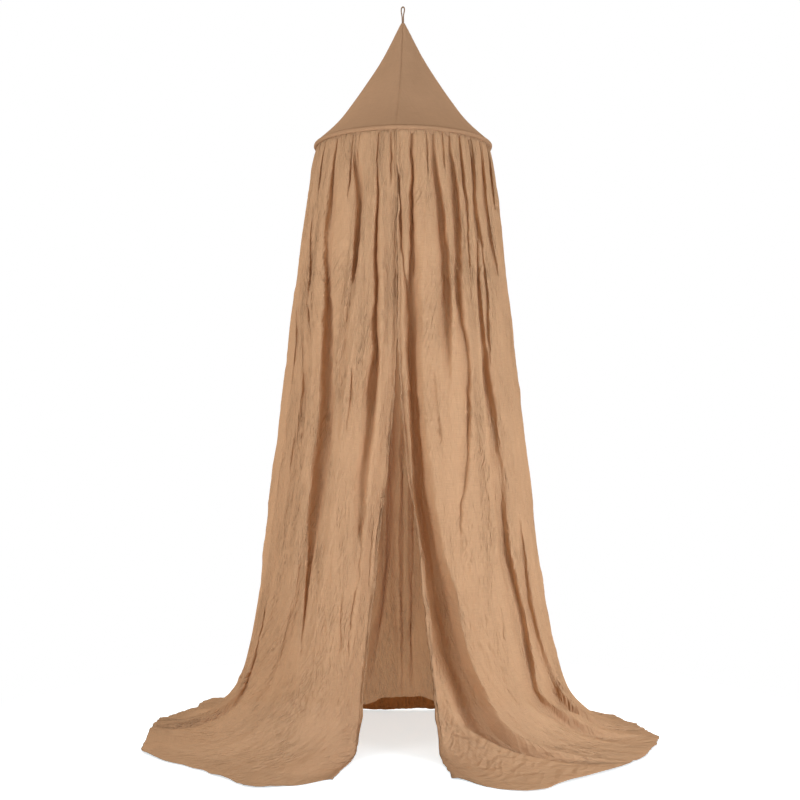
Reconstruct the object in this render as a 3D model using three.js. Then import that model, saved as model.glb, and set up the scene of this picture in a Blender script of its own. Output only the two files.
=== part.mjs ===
// A hanging bed canopy: a cloth crown over a hoop, and a gathered curtain that opens at the front.
// Millimetres, +Z up, front at -Y. The origin is the seat in the hanging loop that a hook carries.
import * as THREE from 'three';

// Cloth, as thick as its crinkles make it, and the running gap between sewn neighbours
const clothThickness = 1;
const seamGap = 0.3;
const panelGap = 0.6;

// Hanging loop: a folded tape whose eye takes a hook
const tapeThickness = 3.5;
const tapeWidth = 6;
const eyeHalfWidth = 3;
const eyeFlatHalfWidth = 1;
const eyeHeight = 18;
const eyeShoulderHeight = 5;
const stalkLength = 29;
const stalkTail = 15;

// Crown: a cone of four gores that flares where it meets the hoop
const goreCount = 4;
const crownHeight = 357;
const crownSeamTurn = -4.2;
const crownHeightShares = [1, 0.715, 0.46, 0.31, 0.2, 0.11, 0];
const crownFlareShares = [0, 0.205, 0.437, 0.587, 0.705, 0.825, 1];

// Hoop: a plastic tube bent to a ring and closed by a plug inside its ends
const hoopRadius = 250;
const hoopTubeRadius = 5.5;
const hoopWall = 1.5;
const hoopEndGap = 2;
const joinerLength = 60;
const joinerClearance = 0.4;
const hoopClearance = 0.5;

// Casing: a cloth strip folded round the hoop, whose two edges hang inside the curtain as tails
const casingSlit = 0.4;
const tailOffset = -2.5;
const tailLength = 9;

// Curtain: how far it hangs and spreads, and how deep its folds run
const hangHeight = 1692;
const floorReach = 470;
const hemReach = 700;
const pleatDepth = 5;
const foldDepth = 62;
const valleyWidth = 26;
const hemRipple = 3;

// The share of the cloth's length above the floor at the front, and how near the free edges, in
// folds, it lies flat
const dropShare = 0.84;
const edgeShare = 0.8;

// Facets
const ringSteps = 48;
const tubeSides = 8;
const casingOuterSteps = 10;
const casingInnerSteps = 8;
const crownRows = 6;
const gapSteps = 5;
const loopCornerSteps = 4;
const normalStepAcross = 0.02;
const normalStepDown = 0.004;
const curtainRowShares = [0, 0.04, 0.1, 0.2, 0.32, 0.45, 0.58, 0.7, 0.78, 0.84, 0.9, 1];

// Fold lines, the valleys between the folds, from the right leaf's free edge round the back to the
// left leaf's. Each has its azimuth, in degrees from the front towards the right, and its share of
// the fold depth at these shares of the cloth's length.
const levelShares = [0, 0.15, 0.35, 0.6, 0.84, 1];
const foldLines = [
  { azimuths: [-4, -4, -2, 9, 19, 16], depthShares: [0.3, 0.4, 0.5, 0.4, 0.3, 0.1] },
  { azimuths: [6, 5.5, 6, 13.5, 34, 58], depthShares: [0.8, 0.9, 1, 1, 1, 0.3] },
  { azimuths: [17, 21, 18, 22, 42, 63], depthShares: [0.7, 0.7, 0.15, 0.05, 0.05, 0] },
  { azimuths: [28, 32, 35, 35, 50, 70], depthShares: [0.7, 0.6, 0.8, 0.3, 0.3, 0.1] },
  { azimuths: [39, 41, 43, 45, 60, 78], depthShares: [0.7, 0.5, 0.05, 0.1, 0.05, 0] },
  { azimuths: [50, 48, 52, 54.5, 70, 86], depthShares: [0.7, 0.8, 1, 1, 1, 0.4] },
  { azimuths: [61, 60, 65, 64, 79, 92], depthShares: [0.7, 0.5, 0.1, 0.1, 0.1, 0.05] },
  { azimuths: [71, 71, 78, 74, 86, 97], depthShares: [0.7, 0.7, 0.7, 0.9, 0.9, 0.4] },
  { azimuths: [81, 80, 86, 84, 93, 102], depthShares: [0.6, 0.4, 0.2, 0.2, 0.2, 0.1] },
  { azimuths: [90, 90, 94, 94, 100, 107], depthShares: [0.6, 0.6, 0.6, 0.6, 0.6, 0.3] },
  { azimuths: [100, 101, 103, 104, 108, 113], depthShares: [0.7, 0.4, 0.2, 0.1, 0.1, 0] },
  { azimuths: [110, 112, 113, 113, 116, 119], depthShares: [0.7, 0.8, 0.9, 1, 0.9, 0.3] },
  { azimuths: [120, 121, 121, 122, 123, 125], depthShares: [0.6, 0.3, 0.1, 0.2, 0.1, 0] },
  { azimuths: [130, 131, 132, 132, 132, 133], depthShares: [0.7, 0.8, 0.7, 0.5, 0.6, 0.2] },
  { azimuths: [140, 141, 143, 143, 142, 141], depthShares: [0.7, 0.4, 0.3, 0.1, 0.2, 0.1] },
  { azimuths: [150, 151, 151, 153, 152, 151], depthShares: [0.7, 0.8, 1, 1, 0.9, 0.4] },
  { azimuths: [160, 160, 162, 162, 161, 160], depthShares: [0.6, 0.4, 0.1, 0.2, 0.1, 0] },
  { azimuths: [170, 170, 171, 171, 170, 170], depthShares: [0.7, 0.7, 0.6, 0.8, 0.7, 0.3] },
  { azimuths: [180, 180, 180, 180, 180, 180], depthShares: [0.6, 0.4, 0.3, 0.2, 0.2, 0.1] },
  { azimuths: [190, 190, 189, 190, 190, 189], depthShares: [0.7, 0.8, 0.9, 0.9, 0.8, 0.3] },
  { azimuths: [200, 199, 199, 199, 199, 198], depthShares: [0.6, 0.4, 0.1, 0.1, 0.1, 0] },
  { azimuths: [210, 209, 208, 209, 208, 207], depthShares: [0.7, 0.8, 0.8, 0.6, 0.6, 0.2] },
  { azimuths: [220, 219, 219, 218, 217, 216], depthShares: [0.6, 0.3, 0.2, 0.1, 0.2, 0.1] },
  { azimuths: [230, 230, 229, 228, 227, 225], depthShares: [0.7, 0.8, 1, 1, 0.9, 0.4] },
  { azimuths: [240, 240, 239, 239, 236, 233], depthShares: [0.7, 0.4, 0.1, 0.2, 0.1, 0] },
  { azimuths: [250, 249, 250, 249, 245, 240], depthShares: [0.7, 0.7, 0.7, 0.9, 0.8, 0.3] },
  { azimuths: [260, 260, 260, 259, 254, 246], depthShares: [0.6, 0.4, 0.2, 0.1, 0.1, 0.1] },
  { azimuths: [270, 270, 270, 270, 263, 251], depthShares: [0.6, 0.6, 0.6, 0.6, 0.5, 0.3] },
  { azimuths: [280, 285, 296, 288, 270, 256], depthShares: [0.7, 0.7, 0.8, 0.9, 0.9, 0.4] },
  { azimuths: [290, 293, 302, 296, 274, 259], depthShares: [0.6, 0.5, 0.1, 0.1, 0.1, 0] },
  { azimuths: [300, 301, 308, 304, 278, 262], depthShares: [0.7, 0.5, 0.1, 0.2, 0.1, 0] },
  { azimuths: [311, 308, 314, 312, 282, 265], depthShares: [0.7, 0.8, 1, 1, 1, 0.3] },
  { azimuths: [323, 330, 323, 318, 301, 284], depthShares: [0.7, 0.9, 0.15, 0.1, 0.1, 0] },
  { azimuths: [334, 336, 331, 325, 313, 302], depthShares: [0.6, 0.2, 0.2, 0.15, 0.1, 0.05] },
  { azimuths: [343, 343, 339, 332, 323, 315], depthShares: [0.8, 0.9, 1, 0.5, 0.1, 0.05] },
  { azimuths: [350, 350, 348, 339, 330, 327], depthShares: [0.5, 0.2, 0.1, 0.1, 0.05, 0.05] },
  { azimuths: [355, 355, 354.4, 345, 335, 339.6], depthShares: [0.3, 0.3, 0.15, 0.1, 0.1, 0.05] },
];
const nearLineCount = 3;
const panelFoldCount = 9;

// How deep the folds run, and how wide the valleys are, at shares of the cloth's length
const depthLevelShares = [0, 0.06, 0.15, 0.35, 0.6, 0.8, 0.89, 1];
const foldDepthShares = [0, 0.16, 0.42, 0.76, 1, 0.9, 0.45, 0];
const valleyWidthShares = [0.3, 0.38, 0.54, 0.77, 1, 1.25, 1.5, 1.7];

// Where the cloth comes down to the floor, and where its hem ends, all round: azimuths and shares
const floorAzimuths = [
  19, 26, 34, 48, 60, 75, 97, 125, 145, 160, 180, 200, 215, 235, 262, 276, 294, 310, 319, 327, 335,
];
const floorReachShares = [
  0.64, 0.77, 0.9, 0.95, 1, 1.06, 1.08, 0.98, 0.86, 0.775, 0.755, 0.775, 0.86, 0.98, 1.03, 1.035, 0.99,
  0.93, 0.88, 0.78, 0.62,
];
const hemAzimuths = [
  16, 20, 23, 26, 30, 34, 40, 53, 64, 75, 86, 96, 107, 122, 145, 160, 180, 200, 213, 222, 230, 241, 254,
  265, 275, 284, 296, 308, 320, 326, 334.5, 339.6,
];
const hemReachShares = [
  0.74, 0.88, 0.94, 0.985, 0.995, 0.967, 0.955, 0.97, 0.988, 1.012, 1.037, 1.01, 1, 0.935, 0.7, 0.55,
  0.51, 0.55, 0.78, 1.13, 1.165, 1.08, 1.09, 1.06, 1.045, 1.053, 1.007, 0.95, 0.957, 0.985, 0.89, 0.76,
];

// How the sides differ, at these azimuths: how much of the length that lies on the floor at the front
// they have, how softly they bend there, and how far they bulge above and below the middle
const sideAzimuths = [19, 40, 110, 125, 145, 160, 170, 190, 200, 215, 235, 250, 315, 335];
const trainShares = [1, 1, 1, 1, 0.625, 0.22, 0.09, 0.09, 0.22, 0.625, 1, 1, 1, 1];
const bendShares = [
  0.016, 0.04, 0.04, 0.035, 0.02, 0.008, 0.005, 0.005, 0.008, 0.02, 0.04, 0.045, 0.04, 0.016,
];
const highBellyShares = [0, 0.05, 0.1, 0.1, 0, 0, 0, 0, 0, 0, 0.2, 0.32, 0.2, 0];
const lowBellyShares = [-0.2, -0.4, -0.75, -0.4, 0, 0, 0, 0, 0, 0, -0.15, -0.25, -0.15, 0];

// Heights, all from the hook seat at zero
const apexHeight = -(eyeHeight + stalkLength);
const hoopHeight = apexHeight - crownHeight;
const floorHeight = hoopHeight - hangHeight;

// Sizes that follow
const casingInnerRadius = hoopTubeRadius + hoopClearance;
const casingOuterRadius = casingInnerRadius + clothThickness;
const crownTopRadius = Math.hypot(tapeThickness, tapeWidth / 2) + seamGap + clothThickness;
const crownBaseHeight = hoopHeight + casingOuterRadius + seamGap + clothThickness / 2;
const curtainTopHeight = hoopHeight - casingOuterRadius - seamGap;
const curtainTopRadius = hoopRadius + tailOffset + seamGap + clothThickness / 2 + pleatDepth;

const radians = THREE.MathUtils.degToRad;
const fabricColour = 0xc49c78;

function clothMaterial(colour) {
  return new THREE.MeshStandardMaterial({ color: colour, roughness: 0.95, metalness: 0 });
}

function plasticMaterial(colour) {
  return new THREE.MeshStandardMaterial({ color: colour, roughness: 0.5, metalness: 0 });
}

// A smooth curve through a table's values that never overshoots them
function smoothTable(knots, values, at) {
  const last = knots.length - 1;
  let i = 0;
  while (i < last - 1 && at > knots[i + 1]) {
    i += 1;
  }
  const rise = (j) => (values[j + 1] - values[j]) / (knots[j + 1] - knots[j]);
  const slope = (j) => {
    if (j === 0 || j === last) {
      return rise(Math.min(j, last - 1));
    }
    const before = rise(j - 1);
    const after = rise(j);
    return before * after > 0 ? (2 * before * after) / (before + after) : 0;
  };
  const span = knots[i + 1] - knots[i];
  const t = THREE.MathUtils.clamp((at - knots[i]) / span, 0, 1);
  const startWeight = (1 + 2 * t) * (1 - t) ** 2;
  const slopes = t * (1 - t) ** 2 * slope(i) - t ** 2 * (1 - t) * slope(i + 1);
  return startWeight * values[i] + (1 - startWeight) * values[i + 1] + span * slopes;
}

// A point at a radius and an azimuth that is counted from the front towards the right
function polarPoint(radius, azimuth, height) {
  return new THREE.Vector3(radius * Math.sin(azimuth), -radius * Math.cos(azimuth), height);
}

// Where the curtain's middle surface lies: across counts fold lines and down is a share of its length
function curtainPoint(across, down, shift = 0) {
  const line = THREE.MathUtils.clamp(Math.floor(across), 0, foldLines.length - 2);
  const share = across - line;
  const azimuthOf = (index, level) => smoothTable(levelShares, foldLines[index].azimuths, level);
  const azimuthAt = (level) => (1 - share) * azimuthOf(line, level) + share * azimuthOf(line + 1, level);

  // The outline that the folds' crests follow, with a soft corner at the floor
  const floorAzimuth = azimuthAt(dropShare);
  const sideShare = (shares) => smoothTable(sideAzimuths, shares, floorAzimuth);
  const floorRadius = floorReach * smoothTable(floorAzimuths, floorReachShares, floorAzimuth);
  const hemRadius = hemReach * smoothTable(hemAzimuths, hemReachShares, azimuthAt(1));
  const drop = curtainTopHeight - floorHeight - clothThickness / 2;
  const hangShare = 1 - (1 - dropShare) * sideShare(trainShares);
  const bendShare = sideShare(bendShares);
  const above = bendShare * Math.log(1 + Math.exp((hangShare - down) / bendShare));
  const beyond = above - (hangShare - down);
  const hung = 1 - above / hangShare;
  const belly = (1 - hung) * sideShare(highBellyShares) + hung * sideShare(lowBellyShares);
  const outward = hung + hung * (1 - hung) * belly;
  const spread = (hemRadius - floorRadius) / (1 - hangShare);
  const crestRadius = curtainTopRadius + (floorRadius - curtainTopRadius) * outward + spread * beyond;
  const crestHeight = (drop * above) / hangShare;

  // The folds: valleys run in from the outline, and up and down where the cloth lies on the floor
  const azimuth = azimuthAt(down);
  const width = valleyWidth * smoothTable(depthLevelShares, valleyWidthShares, down);
  let valley = 0;
  const firstNear = Math.max(line - nearLineCount, 0);
  const lastNear = Math.min(line + 1 + nearLineCount, foldLines.length - 1);
  for (let i = firstNear; i <= lastNear; i += 1) {
    const away = (radians(azimuth - azimuthOf(i, down)) * crestRadius) / width;
    valley += smoothTable(levelShares, foldLines[i].depthShares, down) / Math.cosh(away) ** 2;
  }
  const shallow = pleatDepth + (hemRipple - pleatDepth) * down;
  const depth = shallow + (foldDepth - shallow) * smoothTable(depthLevelShares, foldDepthShares, down);
  const inward = depth * Math.min(valley, 1);
  const lie = (Math.PI / 2) / (1 + Math.exp((hangShare - down) / bendShare));
  const fromEdge = Math.min(across, foldLines.length - 1 - across);
  const lift = (depth - inward) * Math.sin(lie) * THREE.MathUtils.smoothstep(fromEdge, 0, edgeShare);
  const radius = crestRadius - inward * Math.cos(lie);
  const turned = radians(azimuth) + shift / radius;
  return polarPoint(radius, turned, floorHeight + clothThickness / 2 + crestHeight + lift);
}

// The outward normal of a surface that is given as a function of two shares
function surfaceNormal(surface, across, down) {
  const lower = Math.min(down + normalStepDown, 1);
  const upper = Math.max(down - normalStepDown, 0);
  const right = surface(across + normalStepAcross, down).sub(surface(across - normalStepAcross, down));
  const below = surface(across, lower).sub(surface(across, upper));
  return below.cross(right).normalize();
}

// A closed cloth shell from rows of middle points and their outward normals, whose four-sided cells
// are split along their shorter diagonal
function clothShell(rows, normals) {
  const rowLength = rows[0].length;
  const positions = [];
  [clothThickness / 2, -clothThickness / 2].forEach((offset) => {
    rows.forEach((row, j) => {
      row.forEach((point, i) => {
        positions.push(...point.clone().addScaledVector(normals[j][i], offset).toArray());
      });
    });
  });
  const inner = rows.length * rowLength;
  const at = (j, i) => j * rowLength + i;
  const faces = [];
  const quad = (a, b, c, d) => faces.push(a, b, c, a, c, d);
  for (let j = 0; j < rows.length - 1; j += 1) {
    for (let i = 0; i < rowLength - 1; i += 1) {
      const [a, b, c, d] = [at(j, i), at(j + 1, i), at(j + 1, i + 1), at(j, i + 1)];
      const falling = rows[j][i].distanceTo(rows[j + 1][i + 1]);
      const rising = rows[j + 1][i].distanceTo(rows[j][i + 1]);
      if (falling < rising) {
        quad(a, b, c, d);
        quad(inner + a, inner + d, inner + c, inner + b);
      } else {
        quad(b, c, d, a);
        quad(inner + d, inner + c, inner + b, inner + a);
      }
    }
    const right = rowLength - 1;
    quad(at(j, 0), inner + at(j, 0), inner + at(j + 1, 0), at(j + 1, 0));
    quad(at(j, right), at(j + 1, right), inner + at(j + 1, right), inner + at(j, right));
  }
  for (let i = 0; i < rowLength - 1; i += 1) {
    const foot = rows.length - 1;
    quad(at(0, i), at(0, i + 1), inner + at(0, i + 1), inner + at(0, i));
    quad(at(foot, i), inner + at(foot, i), inner + at(foot, i + 1), at(foot, i + 1));
  }
  return closedGeometry(positions, faces);
}

function closedGeometry(positions, faces) {
  const geometry = new THREE.BufferGeometry();
  geometry.setAttribute('position', new THREE.Float32BufferAttribute(positions, 3));
  geometry.setIndex(faces);
  geometry.computeVertexNormals();
  return geometry;
}

// One of the four panels, counted as the fold lines are, less half the panel gap at each side
function curtainPanel(index) {
  const firstLine = index * panelFoldCount;
  const steps = panelFoldCount * gapSteps;
  const rows = [];
  const normals = [];
  curtainRowShares.forEach((down) => {
    const row = [];
    const rowNormals = [];
    for (let i = 0; i <= steps; i += 1) {
      const across = firstLine + i / gapSteps;
      const side = (i === 0 ? 1 : 0) - (i === steps ? 1 : 0);
      row.push(curtainPoint(across, down, (side * panelGap) / 2));
      rowNormals.push(surfaceNormal(curtainPoint, across, down));
    }
    rows.push(row);
    normals.push(rowNormals);
  });
  return clothShell(rows, normals);
}

// The crown's middle surface: across is an azimuth in degrees and down a share of its height
function crownPoint(across, down) {
  const height = crownBaseHeight + (apexHeight - crownBaseHeight) * (1 - down);
  const risingHeights = [...crownHeightShares].reverse();
  const risingFlare = [...crownFlareShares].reverse();
  const flare = smoothTable(risingHeights, risingFlare, 1 - down);
  const radius = crownTopRadius + (hoopRadius - crownTopRadius) * flare;
  return polarPoint(radius, radians(across), height);
}

// A gore, its share of the crown less half a seam gap at each side
function crownGore(index) {
  const goreTurn = 360 / goreCount;
  const steps = ringSteps / goreCount;
  const start = crownSeamTurn + index * goreTurn;
  const rows = [];
  const normals = [];
  for (let j = 0; j <= crownRows; j += 1) {
    const down = j / crownRows;
    const row = [];
    const rowNormals = [];
    for (let i = 0; i <= steps; i += 1) {
      const across = start + (goreTurn * i) / steps;
      const side = (i === 0 ? 1 : 0) - (i === steps ? 1 : 0);
      const point = crownPoint(across, down);
      const sideways = polarPoint((side * seamGap) / 2, radians(across) + Math.PI / 2, 0);
      row.push(point.add(sideways));
      rowNormals.push(surfaceNormal(crownPoint, across, down));
    }
    rows.push(row);
    normals.push(rowNormals);
  }
  return clothShell(rows, normals);
}

// The loop: an outline with a drawn-in eye, as deep as the tape is wide
function loopGeometry() {
  const corner = eyeHalfWidth - eyeFlatHalfWidth;
  const outerCorner = corner + tapeThickness;
  const quarter = Math.PI / 2;
  const stalkFoot = -(eyeHeight + stalkLength + stalkTail);
  const outline = new THREE.Shape();
  outline.moveTo(-tapeThickness, stalkFoot);
  outline.lineTo(tapeThickness, stalkFoot);
  outline.lineTo(tapeThickness, -(eyeHeight + tapeThickness));
  outline.lineTo(eyeHalfWidth + tapeThickness, -eyeShoulderHeight);
  outline.absarc(eyeFlatHalfWidth, -corner, outerCorner, 0, quarter, false);
  outline.absarc(-eyeFlatHalfWidth, -corner, outerCorner, quarter, 2 * quarter, false);
  outline.lineTo(-(eyeHalfWidth + tapeThickness), -eyeShoulderHeight);
  outline.lineTo(-tapeThickness, -(eyeHeight + tapeThickness));
  outline.closePath();

  const eye = new THREE.Path();
  eye.moveTo(0, -eyeHeight);
  eye.lineTo(eyeHalfWidth, -eyeShoulderHeight);
  eye.absarc(eyeFlatHalfWidth, -corner, corner, 0, quarter, false);
  eye.absarc(-eyeFlatHalfWidth, -corner, corner, quarter, 2 * quarter, false);
  eye.lineTo(-eyeHalfWidth, -eyeShoulderHeight);
  eye.closePath();
  outline.holes.push(eye);

  const options = { depth: tapeWidth, bevelEnabled: false, curveSegments: loopCornerSteps };
  const geometry = new THREE.ExtrudeGeometry(outline, options);
  geometry.rotateX(quarter);
  geometry.translate(0, tapeWidth / 2, 0);
  return geometry;
}

// The casing's section, a strip that runs round the hoop from one tail to the other
function casingGeometry() {
  const outerTail = tailOffset;
  const slitOuter = outerTail - clothThickness;
  const slitInner = slitOuter - casingSlit;
  const innerTail = slitInner - clothThickness;
  const tailFoot = -(casingOuterRadius + tailLength);
  const angleAt = (offset, radius) => 2 * Math.PI - Math.acos(offset / radius);
  const section = [new THREE.Vector2(hoopRadius + outerTail, tailFoot)];
  const arc = (radius, from, to, steps) => {
    for (let i = 0; i <= steps; i += 1) {
      const angle = from + ((to - from) * i) / steps;
      section.push(new THREE.Vector2(hoopRadius + radius * Math.cos(angle), radius * Math.sin(angle)));
    }
  };
  const turn = 2 * Math.PI;
  const outerEnd = angleAt(innerTail, casingOuterRadius);
  arc(casingOuterRadius, angleAt(outerTail, casingOuterRadius) - turn, outerEnd, casingOuterSteps);
  section.push(new THREE.Vector2(hoopRadius + innerTail, tailFoot));
  section.push(new THREE.Vector2(hoopRadius + slitInner, tailFoot));
  const innerStart = angleAt(slitInner, casingInnerRadius);
  arc(casingInnerRadius, innerStart, angleAt(slitOuter, casingInnerRadius) - turn, casingInnerSteps);
  section.push(new THREE.Vector2(hoopRadius + slitOuter, tailFoot));
  section.push(section[0].clone());
  const geometry = new THREE.LatheGeometry(section, ringSteps);
  geometry.rotateX(Math.PI / 2);
  geometry.translate(0, 0, hoopHeight);
  return geometry;
}

// The stations of an arc of the hoop, both ends and every ring step between them
function arcStations(start, end) {
  const step = (2 * Math.PI) / ringSteps;
  const stations = [start];
  for (let i = Math.ceil(start / step); i * step < end; i += 1) {
    if (i * step > start) {
      stations.push(i * step);
    }
  }
  stations.push(end);
  return stations;
}

// A round tube, or a rod if its bore is zero, along the hoop's centre line
function hoopArc(outerRadius, boreRadius, start, end) {
  const stations = arcStations(start, end);
  const positions = [];
  const faces = [];
  const skin = (radius) => {
    const base = positions.length / 3;
    stations.forEach((azimuth) => {
      for (let i = 0; i < tubeSides; i += 1) {
        const angle = (2 * Math.PI * (i + 1 / 2)) / tubeSides;
        const out = hoopRadius + radius * Math.cos(angle);
        positions.push(...polarPoint(out, azimuth, hoopHeight + radius * Math.sin(angle)).toArray());
      }
    });
    return base;
  };
  const outer = skin(outerRadius);
  const inner = boreRadius > 0 ? skin(boreRadius) : outer;
  const last = (stations.length - 1) * tubeSides;
  for (let i = 0; i < tubeSides; i += 1) {
    const next = (i + 1) % tubeSides;
    for (let j = 0; j < last; j += tubeSides) {
      const [a, b] = [outer + j + i, outer + j + next];
      faces.push(a, b + tubeSides, b, a, a + tubeSides, b + tubeSides);
      if (boreRadius > 0) {
        const [c, d] = [inner + j + i, inner + j + next];
        faces.push(c, d, d + tubeSides, c, d + tubeSides, c + tubeSides);
      }
    }
    if (boreRadius > 0) {
      faces.push(outer + i, outer + next, inner + next, outer + i, inner + next, inner + i);
      const [a, b, c, d] = [outer + last + i, outer + last + next, inner + last + next, inner + last + i];
      faces.push(a, c, b, a, d, c);
    } else if (i > 0 && i < tubeSides - 1) {
      faces.push(outer, outer + i, outer + next);
      faces.push(outer + last, outer + last + next, outer + last + i);
    }
  }
  return closedGeometry(positions, faces);
}

function hoopGeometry() {
  const halfGap = hoopEndGap / 2 / hoopRadius;
  return hoopArc(hoopTubeRadius, hoopTubeRadius - hoopWall, Math.PI + halfGap, 3 * Math.PI - halfGap);
}

function joinerGeometry() {
  const halfLength = joinerLength / 2 / hoopRadius;
  const radius = hoopTubeRadius - hoopWall - joinerClearance;
  return hoopArc(radius, 0, Math.PI - halfLength, Math.PI + halfLength);
}

const canopy = new THREE.Group();

function addPiece(name, geometry, material) {
  const piece = new THREE.Mesh(geometry, material);
  piece.name = name;
  canopy.add(piece);
}

const curtainCloth = clothMaterial(fabricColour);
const crownCloth = clothMaterial(0xa88460);
const stripCloth = clothMaterial(0xb89068);

addPiece('hanging_loop', loopGeometry(), stripCloth);
addPiece('crown_gore_front_right', crownGore(0), crownCloth);
addPiece('crown_gore_back_right', crownGore(1), crownCloth);
addPiece('crown_gore_back_left', crownGore(2), crownCloth);
addPiece('crown_gore_front_left', crownGore(3), crownCloth);
addPiece('hoop_casing', casingGeometry(), stripCloth);
addPiece('hoop', hoopGeometry(), plasticMaterial(0xe8e4dc));
addPiece('hoop_joiner', joinerGeometry(), plasticMaterial(0x8c8c88));
addPiece('curtain_right_front', curtainPanel(0), curtainCloth);
addPiece('curtain_back_right', curtainPanel(1), curtainCloth);
addPiece('curtain_back_left', curtainPanel(2), curtainCloth);
addPiece('curtain_left_front', curtainPanel(3), curtainCloth);

export default canopy;
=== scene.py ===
import bpy
import math
import numpy as np
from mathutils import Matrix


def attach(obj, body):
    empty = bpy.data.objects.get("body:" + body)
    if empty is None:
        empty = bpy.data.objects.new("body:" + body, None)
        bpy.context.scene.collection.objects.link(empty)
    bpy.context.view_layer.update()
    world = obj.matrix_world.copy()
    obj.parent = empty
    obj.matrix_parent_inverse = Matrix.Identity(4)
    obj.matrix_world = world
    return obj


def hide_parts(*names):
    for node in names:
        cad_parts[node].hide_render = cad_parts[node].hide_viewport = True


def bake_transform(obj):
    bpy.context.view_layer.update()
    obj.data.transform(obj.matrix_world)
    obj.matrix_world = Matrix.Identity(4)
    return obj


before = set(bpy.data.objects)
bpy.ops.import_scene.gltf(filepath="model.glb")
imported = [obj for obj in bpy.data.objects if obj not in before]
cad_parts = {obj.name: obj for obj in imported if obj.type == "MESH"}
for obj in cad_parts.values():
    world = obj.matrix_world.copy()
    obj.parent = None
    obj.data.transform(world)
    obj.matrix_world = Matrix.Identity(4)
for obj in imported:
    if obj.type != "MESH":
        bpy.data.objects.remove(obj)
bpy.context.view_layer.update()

# Heights and radii in metres, from the hook seat at zero, with the floor at FLOOR
CLOTH = 0.001
APEX = -0.047
HOOP_RADIUS = 0.250
HOOP_HEIGHT = -0.404
FLOOR = -2.096
CASING_RADIUS = 0.0062
TAIL_FOOT = -0.016
CROWN_TOP_RADIUS = 0.0059
CROWN_BASE = -0.3969
SEAM_TURN = -4.2
CURTAIN_TOP = -0.4106
CURTAIN_RADIUS = 0.2533
FLOOR_REACH = 0.470
HEM_REACH = 0.700
TOP_TUCK = 0.0045
TOP_TUCK_RUN = 0.012
PLEAT_DEPTH = 0.005
FOLD_DEPTH = 0.066
VALLEY_WIDTH = 0.026
HEM_RIPPLE = 0.003
DROP_SHARE = 0.84
PANEL_WIDTH = 0.9
CLOTH_LENGTH = 2.03
PANEL_FOLDS = 9

# Tables down the cloth go by shares of its length, and tables round it by azimuths in degrees from
# the front towards the right. These lines carry the cloth's places across, from the right leaf's
# free edge round the back to the left leaf's.
LEVELS = [0, 0.15, 0.35, 0.6, 0.84, 1]
FOLD_AZIMUTHS = [
    [-3.5, -2.7, -0.9, 8.6, 16.4, 14],
    [6, 5.5, 6, 13.5, 34, 58],
    [17, 21, 18, 22, 42, 63],
    [28, 32, 35, 35, 50, 70],
    [39, 41, 43, 45, 60, 78],
    [50, 48, 52, 54.5, 70, 86],
    [61, 60, 65, 64, 79, 92],
    [71, 71, 78, 74, 86, 97],
    [81, 80, 86, 84, 93, 102],
    [90, 90, 94, 94, 100, 107],
    [100, 101, 103, 104, 108, 113],
    [110, 112, 113, 113, 116, 119],
    [120, 121, 121, 122, 123, 125],
    [130, 131, 132, 132, 132, 133],
    [140, 141, 143, 143, 142, 141],
    [150, 151, 151, 153, 152, 151],
    [160, 160, 162, 162, 161, 160],
    [170, 170, 171, 171, 170, 170],
    [180, 180, 180, 180, 180, 180],
    [190, 190, 189, 190, 190, 189],
    [200, 199, 199, 199, 199, 198],
    [210, 209, 208, 209, 208, 207],
    [220, 219, 219, 218, 217, 216],
    [230, 230, 229, 228, 227, 225],
    [240, 240, 239, 239, 236, 233],
    [250, 249, 250, 249, 245, 240],
    [260, 260, 260, 259, 254, 246],
    [270, 270, 270, 270, 263, 251],
    [280, 285, 296, 288, 270, 256],
    [290, 293, 302, 296, 274, 259],
    [300, 301, 308, 304, 278, 262],
    [311, 308, 314, 312, 282, 265],
    [323, 330, 323, 318, 301, 284],
    [334, 336, 331, 325, 313, 302],
    [343, 343, 339, 332, 323, 315],
    [350, 350, 348, 339, 330, 327],
    [355.5, 356.3, 354.6, 345.2, 337, 341],
]
LAST_LINE = len(FOLD_AZIMUTHS) - 1
# The back's folds are valleys along these lines: the first line, and their depth shares at LEVELS
FIRST_BACK_FOLD = 9
BACK_FOLD_DEPTHS = [
    [0.6, 0.6, 0.6, 0.6, 0.6, 0.3],
    [0.7, 0.4, 0.2, 0.1, 0.1, 0],
    [0.7, 0.8, 0.9, 1, 0.9, 0.3],
    [0.6, 0.3, 0.1, 0.2, 0.1, 0],
    [0.7, 0.8, 0.7, 0.5, 0.6, 0.2],
    [0.7, 0.4, 0.3, 0.1, 0.2, 0.1],
    [0.7, 0.8, 1, 1, 0.9, 0.4],
    [0.6, 0.4, 0.1, 0.2, 0.1, 0],
    [0.7, 0.7, 0.6, 0.8, 0.7, 0.3],
    [0.6, 0.4, 0.3, 0.2, 0.2, 0.1],
    [0.7, 0.8, 0.9, 0.9, 0.8, 0.3],
    [0.6, 0.4, 0.1, 0.1, 0.1, 0],
    [0.7, 0.8, 0.8, 0.6, 0.6, 0.2],
    [0.6, 0.3, 0.2, 0.1, 0.2, 0.1],
    [0.7, 0.8, 1, 1, 0.9, 0.4],
    [0.7, 0.4, 0.1, 0.2, 0.1, 0],
    [0.7, 0.7, 0.7, 0.9, 0.8, 0.3],
    [0.6, 0.4, 0.2, 0.1, 0.1, 0.1],
    [0.6, 0.6, 0.6, 0.6, 0.5, 0.3],
]
DEPTH_LEVELS = [0, 0.06, 0.15, 0.35, 0.6, 0.8, 0.89, 1]
FOLD_DEPTH_SHARES = [0.05, 0.42, 0.66, 0.86, 1, 0.9, 0.45, 0]
VALLEY_WIDTH_SHARES = [0.3, 0.38, 0.54, 0.77, 1, 1.25, 1.5, 1.7]
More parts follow.
